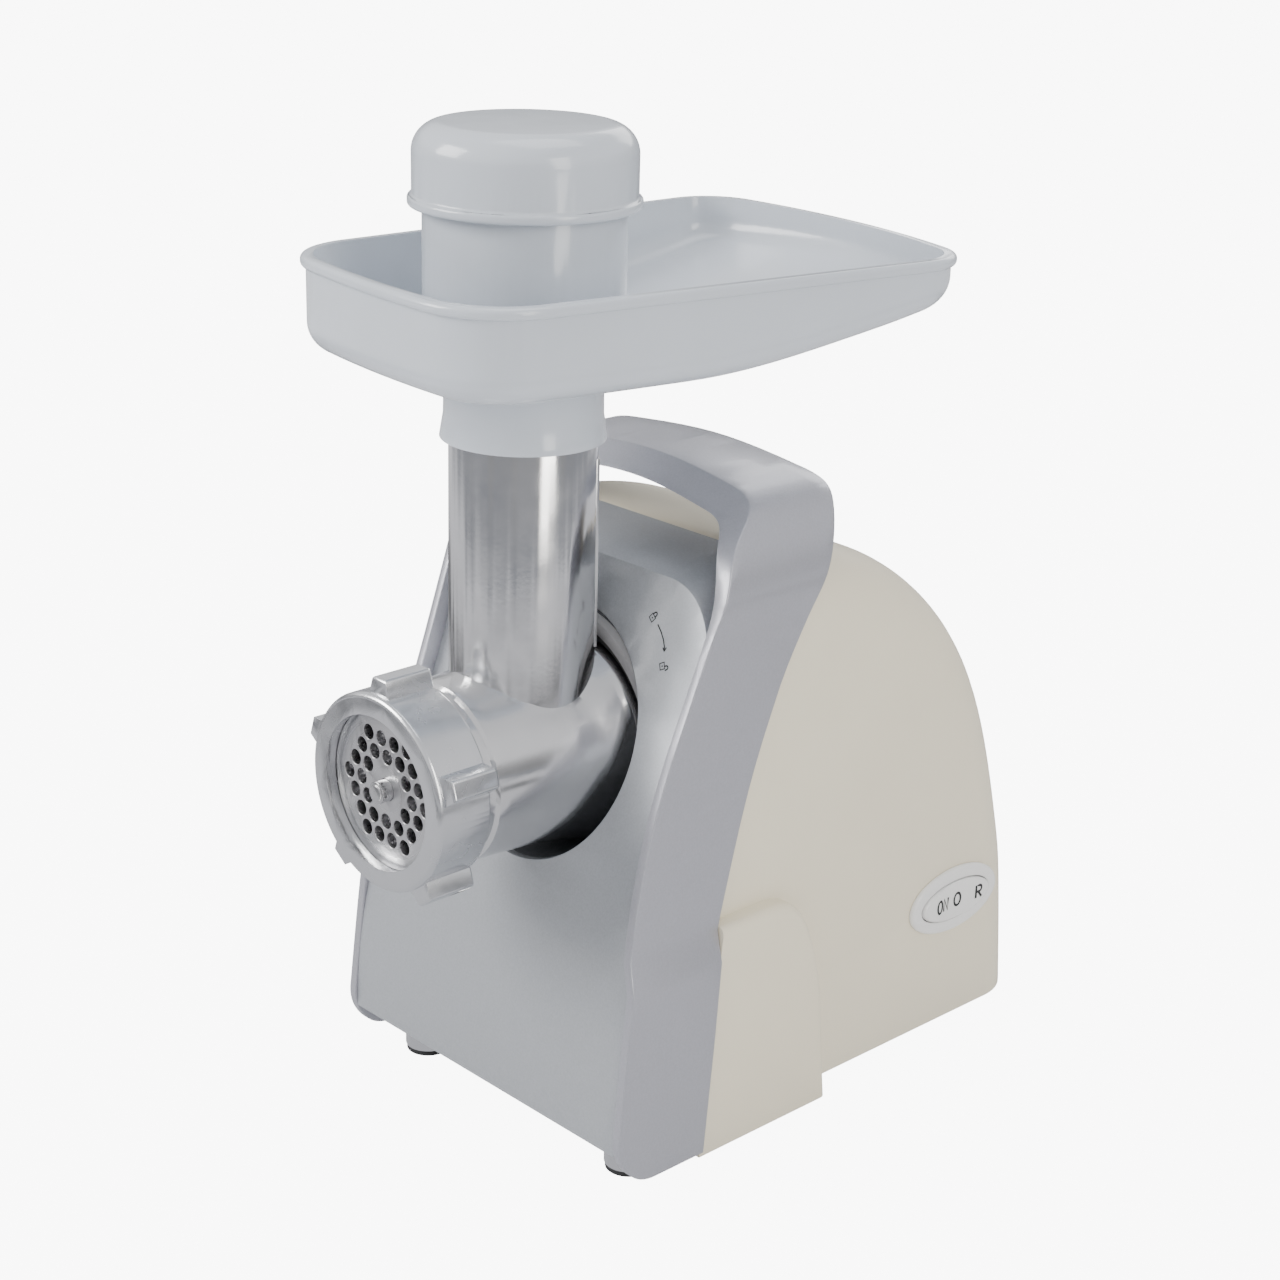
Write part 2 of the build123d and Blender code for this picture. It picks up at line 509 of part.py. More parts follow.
def socket_collar():
    """Dark collar behind the panel that the head locks into."""
    ring_y0, ring_y1, outer_r = FLANGE_Y1 + GAP, 98.0, OPENING_R + 3.6
    behind = side_slab(front_profile(WALL + 0.2), 80)
    body = rod_y(outer_r, 40, ring_y1, 0, OPENING_Z) - rod_y(OPENING_R + 0.2, 30, ring_y0, 0, OPENING_Z)
    body = (body & behind) + rod_y(OPENING_R - 0.2, ring_y0, ring_y0 + 6, 0, OPENING_Z)
    body -= rod_y(FLANGE_R + GAP, 30, ring_y0)
    body -= rod_y(SPIGOT_R + GAP, 60, 110)
    body -= rod_y(BAYONET_R + GAP, BAYONET_Y0 - GAP, BAYONET_Y1 + GAP)
    for a in (0, 120, 240):
        slot = Pos(0, 0, AXIS_Z) * Rot(0, a + 30, 0) * (Pos(0, 0, -AXIS_Z) * block(
            -6.6, 6.6, 60, BAYONET_Y1, AXIS_Z, AXIS_Z + BAYONET_R + GAP))
        body -= slot & rod_y(BAYONET_R + GAP, 60, 100)
    return body


# ---------------------------------------------------------------- gears
def gear(module, teeth, y0, y1, x, z, tooth_at, addendum):
    """Spur gear with involute flanks; one tooth's centre lies at the angle tooth_at, in degrees."""
    pitch_r = module * teeth / 2
    base_r = pitch_r * math.cos(PRESSURE)
    tip_r, root_r = pitch_r + addendum * module, pitch_r - 1.2 * module
    inv = math.tan(PRESSURE) - PRESSURE
    half = math.pi / (2 * teeth) * 0.90 + inv
    points = []
    for k in range(teeth):
        centre = 2 * math.pi * k / teeth + math.radians(tooth_at)
        flank = []
        low = max(base_r, root_r)
        for j in range(5):
            r = low + (tip_r - low) * j / 4
            a = math.acos(min(1.0, base_r / r))
            flank.append((r, half - (math.tan(a) - a)))
        if root_r < base_r:
            flank.insert(0, (root_r, half))
        points += [(r * math.cos(centre - t), r * math.sin(centre - t)) for r, t in flank]
        points += [(r * math.cos(centre + t), r * math.sin(centre + t)) for r, t in reversed(flank)]
    face = make_face(Polyline(*points, close=True))
    return Pos(x, y0, z) * Rot(90, 0, 0) * Pos(0, 0, -(y1 - y0)) * extrude(face, y1 - y0)


def stage_places():
    """Shaft centres (x, z): output, second, first and motor."""
    c1, c2, c3 = [m * (p + w) / 2 for m, p, w in zip(MODULES, PINIONS, WHEELS)]
    second = (STAGE_2_X, AXIS_Z - math.sqrt(c3 ** 2 - STAGE_2_X ** 2))
    motor = (0.0, MOTOR_Z)
    dx, dz = second[0] - motor[0], second[1] - motor[1]
    span = math.hypot(dx, dz)
    along = (c1 ** 2 - c2 ** 2 + span ** 2) / (2 * span)
    across = math.sqrt(c1 ** 2 - along ** 2)
    first = (motor[0] + (dx * along - dz * across) / span, motor[1] + (dz * along + dx * across) / span)
    return (0.0, AXIS_Z), second, first, motor


OUTPUT, SECOND, FIRST, MOTOR = stage_places()


def direction(a, b):
    return math.degrees(math.atan2(b[1] - a[1], b[0] - a[0]))


def mesh(stage, small, large):
    """Tooth angles that put the pinion at small in mesh with the wheel at large."""
    toward = direction(small, large)
    return toward, toward + 180 + 180 / WHEELS[stage]


def output_gear():
    _, wheel_at = mesh(2, SECOND, OUTPUT)
    body = gear(MODULES[2], WHEELS[2], *LAYER_3, *OUTPUT, wheel_at, 0.75)
    body -= rod_y(9.98, 90, 140)
    for k in range(6):
        a = math.radians(60 * k + 15)
        body -= rod_y(6.0, 90, 140, 22 * math.cos(a), AXIS_Z + 22 * math.sin(a))
    return body


def second_gear():
    pinion_at, _ = mesh(2, SECOND, OUTPUT)
    _, wheel_at = mesh(1, FIRST, SECOND)
    body = gear(MODULES[2], PINIONS[2], LAYER_3[0], LAYER_3[1] + 1.5, *SECOND, pinion_at, 0.8)
    body += gear(MODULES[1], WHEELS[1], *LAYER_2, *SECOND, wheel_at, 0.55)
    return body - rod_y(4.0 + RUN, 90, 140, *SECOND)


def first_gear():
    pinion_at, _ = mesh(1, FIRST, SECOND)
    _, wheel_at = mesh(0, MOTOR, FIRST)
    body = gear(MODULES[1], PINIONS[1], LAYER_2[0], LAYER_2[1] + 2.0, *FIRST, pinion_at, 0.8)
    body += gear(MODULES[0], WHEELS[0], *LAYER_1, *FIRST, wheel_at, 0.45)
    return body - rod_y(3.0 + RUN, 90, 140, *FIRST)


def gear_shafts():
    body = rod_y(4.0, CASE_Y0 + 0.5, CASE_Y1 - 5, *SECOND)
    return body + rod_y(3.0, CASE_Y0 + 0.5, CASE_Y1 - 5, *FIRST)


def drive_shaft():
    cup = rod_y(13.5, 98.4, 104.5) - block(-8.15, 8.15, 90, 103.0, AXIS_Z - 8.15, AXIS_Z + 8.15)
    return cup + rod_y(9.98, 103.0, 130.0)


def case_outline(inset):
    """XZ outline around the three stages."""
    circles = Pos(*OUTPUT) * Circle(42.0 - inset)
    circles += Pos(*SECOND) * Circle(35.0 - inset)
    circles += Pos(*FIRST) * Circle(31.5 - inset)
    circles += Pos(*MOTOR) * Circle(20.0 - inset)
    return circles


def case_slab(inset, y0, y1):
    return Pos(0, y1, 0) * Rot(90, 0, 0) * extrude(case_outline(inset), y1 - y0)


def gearbox_case():
    """Front half: a wall with the output bearing seat, and a deep rim."""
    body = case_slab(0, CASE_Y0, CASE_Y1 - 6) - case_slab(WALL, CASE_Y0 + WALL, CASE_Y1)
    body -= rod_y(16.0, 80, 110)
    for place, r in ((SECOND, 4.0), (FIRST, 3.0)):
        body += tube_y(r + 3, r, CASE_Y0 + 0.5, CASE_Y0 + 4.0, *place)
        body -= rod_y(r, CASE_Y0 + 0.5, CASE_Y0 + 8, *place)
    return body


def gearbox_cover():
    body = case_slab(0, CASE_Y1 - 6, CASE_Y1 - 3)
    body += tube_y(13.5, 10.0 + RUN, CASE_Y1 - 9.5, CASE_Y1 - 5)
    body -= rod_y(10.0 + RUN, CASE_Y1 - 9.5, CASE_Y1 - 4.4)
    body -= rod_y(8.0, CASE_Y1 - 10, CASE_Y1, *MOTOR)
    for place, r in ((SECOND, 4.0), (FIRST, 3.0)):
        body -= rod_y(r, CASE_Y1 - 7, CASE_Y1 - 5, *place)
    return body


def output_bearing():
    return tube_y(16.0, 13.5 + RUN, CASE_Y0 - 0.8, CASE_Y0 + WALL)


# ---------------------------------------------------------------- motor
CORE_Y0, CORE_Y1 = 158.0, 196.0
CORE_R = 34.0
FRONT_BRACKET, REAR_BRACKET = (136.2, 139.4), (222.0, 225.0)
FRONT_BEARING, REAR_BEARING = (135.4, 140.4), (221.5, 227.0)


def motor_shaft():
    pinion_at, _ = mesh(0, MOTOR, FIRST)
    body = rod_y(4.0, 130.0, 228.0, *MOTOR) + rod_y(2.9, 121.0, 130.5, *MOTOR)
    return body + gear(MODULES[0], PINIONS[0], LAYER_1[0], LAYER_1[1] + 1.0, *MOTOR, pinion_at, 0.8)


def armature_core():
    body = tube_y(18.5, 4.0, CORE_Y0, CORE_Y1, *MOTOR)
    for k in range(12):
        a = math.radians(30 * k)
        x, z = MOTOR[0] + 18.2 * math.cos(a), MOTOR[1] + 18.2 * math.sin(a)
        body -= Pos(x, (CORE_Y0 + CORE_Y1) / 2, z) * Rot(0, -30 * k, 0) * Box(6.0, 60, 2.6)
    return body


def armature_windings():
    body = tube_y(16.5, 5.5, CORE_Y0 - 9, CORE_Y0, *MOTOR) + tube_y(16.5, 5.5, CORE_Y1, CORE_Y1 + 8, *MOTOR)
    ends = [e for e in body.edges()
            if abs(e.center().Y - CORE_Y0 + 9) < 0.01 or abs(e.center().Y - CORE_Y1 - 8) < 0.01]
    body = try_fillet(body, ends, (3.5, 2.5, 1.5))
    for k in range(12):
        a = math.radians(30 * k)
        x, z = MOTOR[0] + 16.0 * math.cos(a), MOTOR[1] + 16.0 * math.sin(a)
        body += Pos(x, (CORE_Y0 + CORE_Y1) / 2, z) * Rot(0, -30 * k, 0) * Box(1.4, CORE_Y1 - CORE_Y0 + 2, 2.2)
    return body


def commutator():
    body = tube_y(11.0, 4.0, CORE_Y1 + 9.0, CORE_Y1 + 22.0, *MOTOR)
    for k in range(24):
        a = math.radians(15 * k)
        x, z = MOTOR[0] + 11.0 * math.cos(a), MOTOR[1] + 11.0 * math.sin(a)
        body -= Pos(x, CORE_Y1 + 15.5, z) * Rot(0, -15 * k, 0) * Box(1.6, 14, 0.6)
    return body


def cooling_fan():
    hub = tube_y(8.0, 4.0, 141.2, 148.0, *MOTOR)
    body = hub + tube_y(24.0, 7.0, 146.6, 148.0, *MOTOR)
    for k in range(11):
        blade = Pos(MOTOR[0], 144.2, MOTOR[1]) * Rot(0, 360 / 11 * k, 0) * Pos(15.5, 0, 0) * Rot(0, 24, 0) * Box(
            15, 5.2, 1.4)
        body += blade
    return body


def stator_core():
    outer = rod_y(CORE_R, CORE_Y0, CORE_Y1, *MOTOR)
    outer = outer & block(-29, 29, 100, 230, MOTOR_Z - CORE_R, MOTOR_Z + CORE_R)
    body = outer - rod_y(19.2, 100, 230, *MOTOR)
    for side in (-1, 1):
        window = rod_y(27.5, 100, 230, *MOTOR) - rod_y(21.5, 99, 231, *MOTOR)
        window = window & block(-30, 30, 100, 230, MOTOR_Z + side * 8 - 6, MOTOR_Z + side * 8 + 6)
        body -= window
    return body


def field_coils():
    body = None
    for side in (-1, 1):
        ring = rod_y(27.2, CORE_Y0 - 7, CORE_Y1 + 6, *MOTOR) - rod_y(21.8, 99, 231, *MOTOR)
        ring = ring & block(-30, 30, 100, 230, MOTOR_Z + side * 8 - 5.6, MOTOR_Z + side * 8 + 5.6)
        body = ring if body is None else body + ring
    return body


def motor_bracket(y0, y1, bearing_y0, bearing_y1):
    """End bracket: a bridge across the core with a bearing seat."""
    body = block(-29, 29, y0, y1, MOTOR_Z - 9, MOTOR_Z + 9) + rod_y(13.0, y0, y1, *MOTOR)
    body += tube_y(13.0, 9.0, bearing_y0, bearing_y1, *MOTOR)
    return body - rod_y(9.0, min(y0, bearing_y0) - 1, max(y1, bearing_y1) + 1, *MOTOR)


def motor_bearings():
    front = tube_y(9.0, 4.0 + RUN, *FRONT_BEARING, *MOTOR)
    return front + tube_y(9.0, 4.0 + RUN, *REAR_BEARING, *MOTOR)


def brush_holders():
    body = None
    for side in (-1, 1):
        x0, x1 = sorted((side * 13.0, side * 27.0))
        tube = block(x0, x1, CORE_Y1 + 10, CORE_Y1 + 20, MOTOR_Z - 5, MOTOR_Z + 5)
        tube -= block(min(x0, x1) - 1, max(x0, x1) + 1, CORE_Y1 + 11.8, CORE_Y1 + 18.2,
                      MOTOR_Z - 3.2, MOTOR_Z + 3.2)
        body = tube if body is None else body + tube
    return body


def carbon_brushes():
    body = None
    for side in (-1, 1):
        x0, x1 = sorted((side * 11.3, side * 21.0))
        brush = block(x0, x1, CORE_Y1 + 12, CORE_Y1 + 18, MOTOR_Z - 3, MOTOR_Z + 3)
        body = brush if body is None else body + brush
    return body


def motor_dampers():
    body = None
    for y in (162.0, 186.0):
        pad = block(-20, 20, y, y + 8, 11.8, MOTOR_Z - CORE_R)
        body = pad if body is None else body + pad
    return body


# ---------------------------------------------------------------- switch, button, feet and fixings
def ellipse_slab(a, b, x0, x1):
    """Oval block on the right side, a along Y and b along Z."""
    return Pos(x0, SWITCH_Y, SIDE_Z) * extrude(Plane.YZ * Ellipse(a, b), x1 - x0)


def switch_bezel():
    body = ellipse_slab(23.2, 12.2, 59.4, 63.4)
    rim = [e for e in body.edges() if abs(e.center().X - 63.4) < 0.01]
    body = try_fillet(body, rim, (1.4, 1.0, 0.6))
    body = body & (ellipse_slab(23.2, 12.2, REAR_W, 64) + ellipse_slab(18.9, 8.1, 50, 64))
    return body - ellipse_slab(18.3, 7.5, 50, 70)


def rocker():
    body = ellipse_slab(17.9, 7.1, 59.6, 64.6)
    rim = [e for e in body.edges() if abs(e.center().X - 64.6) < 0.01]
    body = try_fillet(body, rim, (1.2, 0.8))
    dish = Pos(64.6 + 60.0, SWITCH_Y, SIDE_Z) * Cylinder(60.9, 30)
    return body - dish


def switch_body():
    return block(40.0, 57.6, SWITCH_Y - 15, SWITCH_Y + 15, SIDE_Z - 6.6, SIDE_Z + 6.6)


def lock_button():
    """Round push button left of the socket; its stem runs in the guide."""
    cap = rod_y(BUTTON_R, 48.0, 66.0, BUTTON_X, BUTTON_Z)
    rim = [e for e in cap.edges() if abs(e.center().Y - 48.0) < 0.01]
    return try_fillet(cap, rim, (1.5, 1.0)) + rod_y(3.0, 65.0, 84.0, BUTTON_X, BUTTON_Z)


def lock_guide():
    body = rod_y(BUTTON_R + 2.4, 62.0, 80.0, BUTTON_X, BUTTON_Z)
    body -= rod_y(BUTTON_R + GAP, 60.0, 76.0, BUTTON_X, BUTTON_Z)
    return body - rod_y(3.0 + RUN, 70.0, 90.0, BUTTON_X, BUTTON_Z)


def lock_spring():
    return tube_y(5.2, 3.6, 66.2, 75.8, BUTTON_X, BUTTON_Z)


def foot_places():
    return [(-FOOT_X, FRONT_FOOT_Y), (FOOT_X, FRONT_FOOT_Y), (-46.0, REAR_FOOT_Y), (46.0, REAR_FOOT_Y)]


def merge(parts):
    body = parts[0]
    for part in parts[1:]:
        body = body + part
    return body


def front_feet():
    return merge([rod_z(8.1, PAD_TOP, 12.0, x, y) for x, y in foot_places()[:2]])


def rear_feet():
    return merge([rod_z(9.0, PAD_TOP, 9.2, x, y) for x, y in foot_places()[2:]])


def foot_pads():
    pads = [rod_z(7.7, STAND_Z, PAD_TOP, x, y) for x, y in foot_places()]
    return merge(pads)


def screws(places, r_head, z0, length):
    parts = []
    for x, y in places:
        head = rod_z(r_head, z0, z0 + 2.2, x, y) - rod_z(r_head * 0.45, z0 - 1, z0 + 1.2, x, y)
        parts.append(head + rod_z(r_head * 0.5, z0 + 2.2, z0 + length, x, y))
    return merge(parts)


def base_screws():
    return screws([(-34, 100), (34, 100), (-34, 228), (34, 228)], 3.4, 6.9, 2.3)


def gearbox_screws():
    parts = []
    for x, z in ((-33, 158.0), (33, 158.0), (-30, 108.0), (46.5, 112.0)):
        parts.append(rod_y(2.6, CASE_Y1 - 3, CASE_Y1 - 0.8, x, z))
    return merge(parts)


def capacitor():
    return block(-52, -38, 170, 192, 118.0, 136.0)


def wiring_bracket():
    return block(-54, -36, 166, 196, 114.6, 117.8) + block(-58.8, -54, 166, 196, 112, 137.5)


def cord_gland():
    sleeve = tube_y(6.0, CORD_R, 240.0, 252.6, CORD_X, CORD_Z)
    return sleeve + tube_y(8.0, CORD_R, 250.9, 253.4, CORD_X, CORD_Z)


def build():
    add("head_casting", head_casting())
    add("head_bush", head_bush())
    add("grinder_plate", grinder_plate())
    add("ring_nut", ring_nut())
    add("auger", auger())
    add("auger_pin", auger_pin())
    add("knife", knife())
    add("feed_tray", feed_tray())
    add("pusher", pusher())
    add("pusher_cap", pusher_cap())
    add("handle_frame", handle_frame())
    add("front_housing", front_housing())
    add("rear_housing", rear_housing())
    add("base_plate", base_plate())
    add("socket_collar", socket_collar())
    add("output_gear", output_gear())
    add("second_gear", second_gear())
    add("first_gear", first_gear())
    add("gear_shafts", gear_shafts())
    add("drive_shaft", drive_shaft())
    add("gearbox_case", gearbox_case())
    add("gearbox_cover", gearbox_cover())
    add("output_bearing", output_bearing())
    add("motor_shaft", motor_shaft())
    add("armature_core", armature_core())
    add("armature_windings", armature_windings())
    add("commutator", commutator())
    add("cooling_fan", cooling_fan())
    add("stator_core", stator_core())
    add("field_coils", field_coils())
    add("front_motor_bracket", motor_bracket(*FRONT_BRACKET, *FRONT_BEARING))
    add("rear_motor_bracket", motor_bracket(*REAR_BRACKET, *REAR_BEARING))
    add("motor_bearings", motor_bearings())
    add("brush_holders", brush_holders())
    add("carbon_brushes", carbon_brushes())
    add("motor_dampers", motor_dampers())
    add("switch_bezel", switch_bezel())
    add("rocker", rocker())
    add("switch_body", switch_body())
    add("lock_button", lock_button())
    add("lock_guide", lock_guide())
    add("lock_spring", lock_spring())
    add("front_feet", front_feet())
    add("rear_feet", rear_feet())
    add("foot_pads", foot_pads())
    add("base_screws", base_screws())
    add("gearbox_screws", gearbox_screws())
    add("capacitor", capacitor())
    add("wiring_bracket", wiring_bracket())
    add("cord_gland", cord_gland())


build()
os.makedirs("parts", exist_ok=True)
for name, body in NODES.items():
    export_step(Pos(*ORIGIN_SHIFT) * body, f"parts/{name}.step")
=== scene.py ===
import json
import math

import bmesh
import bpy
from mathutils import Matrix, Vector
from mathutils.bvhtree import BVHTree


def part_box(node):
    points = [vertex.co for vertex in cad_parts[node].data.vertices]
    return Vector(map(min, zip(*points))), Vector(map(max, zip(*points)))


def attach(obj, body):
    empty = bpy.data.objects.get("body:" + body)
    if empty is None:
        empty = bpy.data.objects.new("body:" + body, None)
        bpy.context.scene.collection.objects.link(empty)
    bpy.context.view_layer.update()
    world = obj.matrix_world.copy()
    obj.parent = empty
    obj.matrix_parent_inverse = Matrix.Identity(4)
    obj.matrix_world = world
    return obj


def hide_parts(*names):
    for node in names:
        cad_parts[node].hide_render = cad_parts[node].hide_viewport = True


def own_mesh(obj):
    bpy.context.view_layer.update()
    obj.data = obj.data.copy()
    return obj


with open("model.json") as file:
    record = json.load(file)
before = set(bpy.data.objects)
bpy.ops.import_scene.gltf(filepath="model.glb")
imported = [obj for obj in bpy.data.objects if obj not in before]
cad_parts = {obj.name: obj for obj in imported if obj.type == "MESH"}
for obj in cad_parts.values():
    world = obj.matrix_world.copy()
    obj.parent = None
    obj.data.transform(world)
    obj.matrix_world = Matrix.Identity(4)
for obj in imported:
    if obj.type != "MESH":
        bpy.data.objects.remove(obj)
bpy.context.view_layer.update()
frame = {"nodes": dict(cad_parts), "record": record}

MM = 0.001
AUGER_HEIGHT = 136.0            # of the auger axis, in the machine's own millimetres
MARK_RISE = 0.06                # height of printed marks over their surface, in millimetres


def centre(node):
    low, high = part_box(node)
    return (low + high) / 2


plate_low, plate_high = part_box("grinder_plate")
AXIS = Vector(((plate_low.x + plate_high.x) / 2, plate_low.y, centre("output_bearing").z))
BODY_OF = {n: body for body, nodes in frame["record"]["behaviour"]["bodies"].items() for n in nodes}


def at(x, y, z):
    """Row frame place of a point given in the machine's millimetres, from the middle of the plate's face."""
    return AXIS + Vector((x, y, z - AUGER_HEIGHT)) * MM


# ------------------------------------------------------------------ materials
def node(tree, kind, **inputs):
    """Adds a shader node and sets its inputs: a value, or a socket to link from."""
    made = tree.nodes.new(kind)
    for key, value in inputs.items():
        socket = made.inputs[int(key[1:])] if key[0] == "i" and key[1:].isdigit() else made.inputs[key]
        if isinstance(value, bpy.types.NodeSocket):
            tree.links.new(value, socket)
        else:
            socket.default_value = value
    return made


def blank(name):
    mat = bpy.data.materials.new(name)
    mat.use_nodes = True
    tree = mat.node_tree
    return mat, tree, tree.nodes["Principled BSDF"]


def noise(tree, where, scale, detail=3.0, rough=0.5):
    made = node(tree, "ShaderNodeTexNoise", Vector=where, Scale=scale, Detail=detail, Roughness=rough)
    return made.outputs[0]


def ranged(tree, value, low, high, from_low=0.3, from_high=0.7):
    made = node(tree, "ShaderNodeMapRange", i0=value, i1=from_low, i2=from_high, i3=low, i4=high)
    return made.outputs[0]


def tinted(tree, factor, dark, light):
    """Mixes two colours by factor."""
    made = tree.nodes.new("ShaderNodeMix")
    made.data_type = "RGBA"
    tree.links.new(factor, made.inputs[0])
    made.inputs[6].default_value = (*dark, 1)
    made.inputs[7].default_value = (*light, 1)
    return made.outputs[2]


def shade(colour, amount):
    return tuple(min(1.0, c * amount) for c in colour)


def stretched(tree, where, scale):
    return node(tree, "ShaderNodeMapping", Vector=where, Scale=scale).outputs[0]


def around(tree, where, middle, axis):
    """Coordinates for turned marks: distance from an axis, and a slow change along and round it."""
    moved = node(tree, "ShaderNodeVectorMath", i0=where, i1=tuple(middle))
    moved.operation = "SUBTRACT"
    flat = node(tree, "ShaderNodeVectorMath", i0=moved.outputs[0], i1=(1 - axis[0], 1 - axis[1], 1 - axis[2]))
    flat.operation = "MULTIPLY"
    radius = node(tree, "ShaderNodeVectorMath", i0=flat.outputs[0])
    radius.operation = "LENGTH"
    along = node(tree, "ShaderNodeVectorMath", i0=moved.outputs[0], i1=tuple(axis))
    along.operation = "DOT_PRODUCT"
    joined = node(tree, "ShaderNodeCombineXYZ", X=radius.outputs[1], Y=along.outputs[1])
    return joined.outputs[0]


def surface(name, colour, rough, metallic=0.0, vary=0.06, vary_scale=40.0, rough_vary=0.06, grain=900.0,
            grain_height=0.02, brushed=None, turned=None, coat=0.0, specular=0.5, cloudy=None):
    """Procedural finish: mottled colour, uneven gloss and fine relief, with brushed or turned marks if asked."""
    mat, tree, shader = blank(name)
    where = tree.nodes.new("ShaderNodeTexCoord").outputs["Object"]
    mottle = noise(tree, where, vary_scale, 4.0)
    tree.links.new(tinted(tree, ranged(tree, mottle, 0, 1), shade(colour, 1 - vary), shade(colour, 1 + vary)),
                   shader.inputs["Base Color"])
    marks = where
    if brushed:
        marks = stretched(tree, where, brushed)
    if turned:
        marks = around(tree, where, *turned)
    fine = noise(tree, marks, grain, 2.0)
    gloss = noise(tree, marks, vary_scale * 3 if not (brushed or turned) else grain / 3, 3.0)
    tree.links.new(ranged(tree, gloss, max(0.02, rough - rough_vary), rough + rough_vary),
                   shader.inputs["Roughness"])
    height = fine
    if cloudy:
        wide = noise(tree, where, cloudy[0], 2.0)
        mixed = node(tree, "ShaderNodeMath", i0=wide, i1=cloudy[1])
        mixed.operation = "MULTIPLY"
        total = node(tree, "ShaderNodeMath", i0=mixed.outputs[0], i1=fine)
        total.operation = "ADD"
        height = total.outputs[0]
    bump = node(tree, "ShaderNodeBump", Strength=1.0, Distance=grain_height * MM, Height=height)
    tree.links.new(bump.outputs[0], shader.inputs["Normal"])
    shader.inputs["Metallic"].default_value = metallic
    shader.inputs["Specular IOR Level"].default_value = specular
    if coat:
        shader.inputs["Coat Weight"].default_value = coat
        shader.inputs["Coat Roughness"].default_value = 0.06
    return mat


X_AXIS, Y_AXIS, Z_AXIS = (1, 0, 0), (0, 1, 0), (0, 0, 1)
FINISH = {
    "head_metal": surface("head_metal", (0.78, 0.78, 0.79), 0.17, 1, 0.03, 30, 0.05, 700, 0.012,
                          cloudy=(60, 2.0)),
    "nut_metal": surface("nut_metal", (0.76, 0.77, 0.79), 0.24, 1, 0.03, 40, 0.06, 900, 0.01),
    "plate_steel": surface("plate_steel", (0.66, 0.66, 0.67), 0.3, 1, 0.05, 60, 0.06, 2600, 0.012,
                           turned=(AXIS, Y_AXIS)),
    "auger_metal": surface("auger_metal", (0.66, 0.66, 0.67), 0.38, 1, 0.06, 50, 0.08, 500, 0.05),
    "steel": surface("steel", (0.60, 0.60, 0.61), 0.24, 1, 0.04, 60, 0.06, 2600, 0.012,
                     turned=(AXIS, Y_AXIS)),
    "knife_steel": surface("knife_steel", (0.64, 0.64, 0.66), 0.26, 1, 0.04, 60, 0.06, 900, 0.02,
                           brushed=(1, 1, 8)),
    "grey_plastic": surface("grey_plastic", (0.56, 0.60, 0.655), 0.2, 0, 0.02, 25, 0.03, 1200, 0.004,
                            coat=0.3),
    "silver_paint": surface("silver_paint", (0.44, 0.445, 0.49), 0.34, 0.5, 0.04, 1400, 0.04, 2200, 0.012,
                            coat=0.25),
    "panel_silver": surface("panel_silver", (0.44, 0.46, 0.49), 0.4, 0.45, 0.05, 1400, 0.04, 2200, 0.014,
                            coat=0.15),
    "cream_plastic": surface("cream_plastic", (0.80, 0.74, 0.585), 0.42, 0, 0.015, 20, 0.04, 1500, 0.006,
                             specular=0.25),
    "dark_plastic": surface("dark_plastic", (0.085, 0.09, 0.10), 0.42, 0, 0.15, 60, 0.06, 1500, 0.02),
    "base_plastic": surface("base_plastic", (0.24, 0.24, 0.25), 0.45, 0, 0.06, 60, 0.06, 1500, 0.02),
    "gear_plastic": surface("gear_plastic", (0.76, 0.73, 0.65), 0.4, 0, 0.03, 60, 0.05, 900, 0.015),
    "gear_steel": surface("gear_steel", (0.46, 0.46, 0.47), 0.34, 1, 0.08, 60, 0.08, 1800, 0.02,
                          turned=(AXIS, Y_AXIS)),
    "case_metal": surface("case_metal", (0.55, 0.55, 0.56), 0.45, 1, 0.06, 50, 0.08, 420, 0.08),
    "bronze": surface("bronze", (0.58, 0.42, 0.22), 0.4, 1, 0.1, 120, 0.08, 700, 0.03),
    "lamination": surface("lamination", (0.30, 0.31, 0.33), 0.42, 1, 0.1, 80, 0.08, 60, 0.1,
                          brushed=(0.1, 30, 0.1)),
    "copper": surface("copper", (0.62, 0.24, 0.10), 0.3, 0.9, 0.1, 90, 0.08, 160, 0.15, brushed=(9, 1, 9)),
    "carbon": surface("carbon", (0.04, 0.04, 0.042), 0.6, 0, 0.2, 200, 0.08, 900, 0.04),
    "fan_plastic": surface("fan_plastic", (0.09, 0.09, 0.10), 0.5, 0, 0.1, 60, 0.06, 900, 0.02),
    "rubber": surface("rubber", (0.022, 0.022, 0.024), 0.65, 0, 0.15, 120, 0.08, 900, 0.04),
    "white_plastic": surface("white_plastic", (0.80, 0.80, 0.79), 0.2, 0, 0.015, 30, 0.04, 1200, 0.005,
                             coat=0.2),
    "spring_steel": surface("spring_steel", (0.5, 0.5, 0.52), 0.25, 1, 0.05, 60, 0.06, 400, 0.03),
    "foot_chrome": surface("foot_chrome", (0.72, 0.72, 0.74), 0.2, 1, 0.03, 60, 0.05, 900, 0.01),
    "screw_steel": surface("screw_steel", (0.42, 0.42, 0.43), 0.32, 1, 0.08, 90, 0.08, 700, 0.03),
    "film_blue": surface("film_blue", (0.03, 0.08, 0.28), 0.25, 0, 0.08, 40, 0.05, 700, 0.01),
}

slot_of = {s["node"]: s["material_slot"] for s in frame["record"]["subparts"]}
for name, cad in frame["nodes"].items():
    cad.data.materials.clear()
    cad.data.materials.append(FINISH[slot_of[name]])


# ------------------------------------------------------------------ pieces
def placed(name, mesh, like, slot=None):
    """Links a finished mesh as a piece that rides with the CAD node it belongs to."""
    piece = bpy.data.objects.new(name, mesh)
    bpy.context.scene.collection.objects.link(piece)
    slot = slot or slot_of[like]
    mesh.materials.clear()
    mesh.materials.append(FINISH[slot])
    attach(piece, BODY_OF[like])
    return piece


